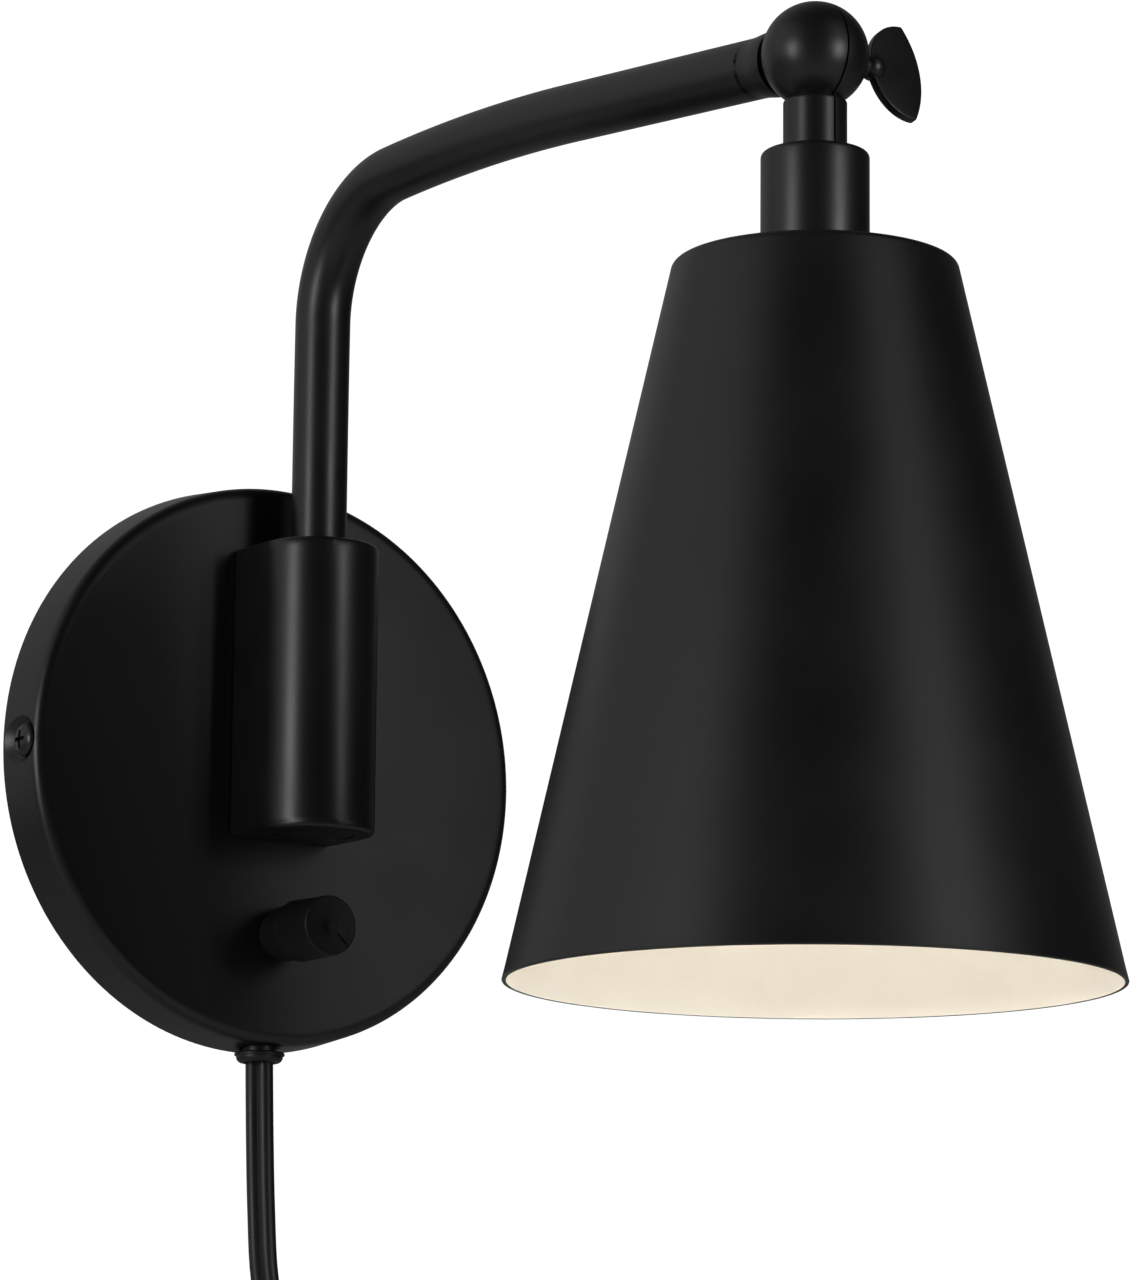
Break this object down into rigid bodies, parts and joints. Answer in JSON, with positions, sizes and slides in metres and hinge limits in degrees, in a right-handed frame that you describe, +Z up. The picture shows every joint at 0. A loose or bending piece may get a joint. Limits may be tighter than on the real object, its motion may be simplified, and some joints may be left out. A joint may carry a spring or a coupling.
{
  "type": "swing arm wall sconce",
  "caption": "Plug-in wall sconce: a bent tube arm swings on a round canopy and carries a cone shade on a clamped ball joint, with a dimmer knob on the canopy.",
  "frame": {"origin": "centre of the canopy's back face, on the wall", "axes": "+Y into the wall, +Z up, the arm stands out along -Y at rest"},
  "size_m": [0.134, 0.2654, 0.4048],
  "materials": {
    "black_paint": "satin black paint",
    "black_steel": "black oxide steel",
    "zinc_steel": "zinc plated steel",
    "spring_steel": "spring steel",
    "white_nylon": "white nylon",
    "phenolic": "black phenolic",
    "brass": "bright brass",
    "black_plastic": "moulded black plastic",
    "black_vinyl": "satin black vinyl",
    "lead_sleeve": "matt lead sleeve",
    "nickel": "nickel plate"
  },
  "bodies": {
    "base": {"canopy": "black_paint", "wall_bracket": "zinc_steel", "side_screw_left": "black_steel", "side_screw_right": "black_steel", "pivot_body": "black_paint", "body_screw_upper": "zinc_steel", "body_screw_lower": "zinc_steel", "thrust_washer": "white_nylon", "pivot_cap": "black_paint", "dimmer": "black_plastic", "dimmer_nut": "black_plastic", "cord_grommet": "black_vinyl", "inner_cord": "black_vinyl", "wire_connector_left": "white_nylon", "wire_connector_right": "white_nylon", "entry_lead": "lead_sleeve", "power_cord": "black_vinyl", "cord_coil": "black_vinyl", "coil_tie": "black_plastic", "cord_tail": "black_vinyl", "plug_body": "black_vinyl", "plug_blade_left": "nickel", "plug_blade_right": "nickel"},
    "arm": {"arm_tube": "black_paint", "arm_socket": "black_paint", "hinge_tongue": "black_steel", "swivel_stud": "zinc_steel", "spring_washer": "spring_steel", "swivel_nut": "zinc_steel", "arm_lead": "lead_sleeve"},
    "head": {"ball_half_left": "black_paint", "ball_half_right": "black_paint", "socket_cup": "black_paint", "threaded_nipple": "zinc_steel", "shade": "black_paint", "shade_washer": "zinc_steel", "shade_nut": "zinc_steel", "lampholder_cap": "phenolic", "lampholder_body": "phenolic", "screw_shell": "brass", "centre_contact": "brass", "head_lead": "lead_sleeve"},
    "thumb": {"thumbscrew": "black_paint"},
    "dial": {"knob": "black_plastic", "dimmer_shaft": "zinc_steel"}
  },
  "joints": [
    {"name": "arm_swing", "type": "hinge", "parent": "base", "child": "arm", "pos_m": [0, -0.027, 0.0471], "axis": [0, 0, 1], "range_deg": [-75, 75]},
    {"name": "head_tilt", "type": "hinge", "parent": "arm", "child": "head", "pos_m": [0, -0.2052, 0.11822], "axis": [-1, 0, 0], "range_deg": [-25, 55]},
    {"name": "thumbscrew_turn", "type": "hinge", "parent": "head", "child": "thumb", "pos_m": [0, -0.2052, 0.11822], "axis": [1, 0, 0], "range_deg": [0, 180]},
    {"name": "knob_turn", "type": "hinge", "parent": "base", "child": "dial", "pos_m": [0, -0.0347, -0.0382], "axis": [0, 1, 0], "range_deg": [-270, 0]}
  ]
}
